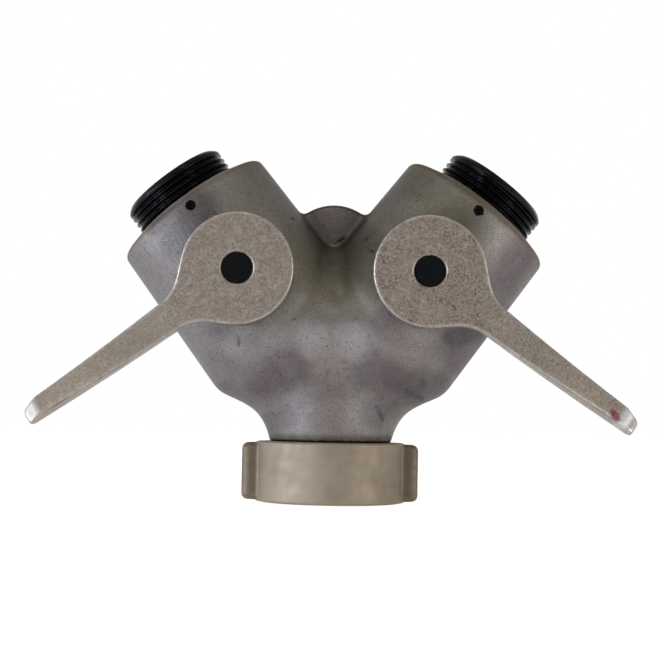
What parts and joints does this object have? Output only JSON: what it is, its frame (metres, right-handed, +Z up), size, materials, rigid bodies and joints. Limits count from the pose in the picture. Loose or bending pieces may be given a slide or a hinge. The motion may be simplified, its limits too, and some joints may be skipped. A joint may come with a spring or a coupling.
{
  "type": "wye valve",
  "caption": "Gated wye for fire hose: a swivel inlet feeds two slanted threaded outlets, each shut by a quarter-turn ball valve with a bent lever.",
  "frame": {"origin": "centre of the inlet mouth, on the swivel's lower face", "axes": "+Z up the inlet axis, +X toward the right outlet, levers on the -Y side"},
  "size_m": [0.2608, 0.1091, 0.1605],
  "materials": {
    "blasted_casting": "blasted, matte",
    "tan_anodised": "turned and hard anodised",
    "black_anodised": "hard anodised black",
    "tumbled_casting": "tumbled, worn bright at edges",
    "polished_steel": "polished",
    "steel": "machined",
    "black_steel": "black oxide",
    "rubber": "moulded",
    "seat_plastic": "turned",
    "black_plastic": "satin"
  },
  "bodies": {
    "casting": {"wye_body": "blasted_casting", "left_outlet_adapter": "black_anodised", "right_outlet_adapter": "black_anodised", "left_adapter_ring": "rubber", "right_adapter_ring": "rubber", "left_outer_seat": "seat_plastic", "right_outer_seat": "seat_plastic", "left_inner_seat": "seat_plastic", "right_inner_seat": "seat_plastic", "left_set_screw": "black_steel", "right_set_screw": "black_steel", "left_stop_pin": "steel", "right_stop_pin": "steel", "retaining_ring": "steel"},
    "swivel": {"inlet_swivel": "tan_anodised", "inlet_gasket": "rubber"},
    "left_valve": {"left_ball": "polished_steel", "left_stem": "steel", "left_stem_rings": "rubber", "left_thrust_washer": "seat_plastic", "left_lever": "tumbled_casting", "left_lever_screw": "steel", "left_lever_plug": "black_plastic"},
    "right_valve": {"right_ball": "polished_steel", "right_stem": "steel", "right_stem_rings": "rubber", "right_thrust_washer": "seat_plastic", "right_lever": "tumbled_casting", "right_lever_screw": "steel", "right_lever_plug": "black_plastic"}
  },
  "joints": [
    {"name": "swivel_spin", "type": "hinge", "parent": "casting", "child": "swivel", "pos_m": [0, 0, 0.012], "axis": [0, 0, 1], "continuous": true},
    {"name": "left_valve_turn", "type": "hinge", "parent": "casting", "child": "left_valve", "pos_m": [-0.04152, 0, 0.10211], "axis": [0, 1, 0], "range_deg": [0, 90]},
    {"name": "right_valve_turn", "type": "hinge", "parent": "casting", "child": "right_valve", "pos_m": [0.04152, 0, 0.10211], "axis": [0, -1, 0], "range_deg": [0, 90]}
  ]
}
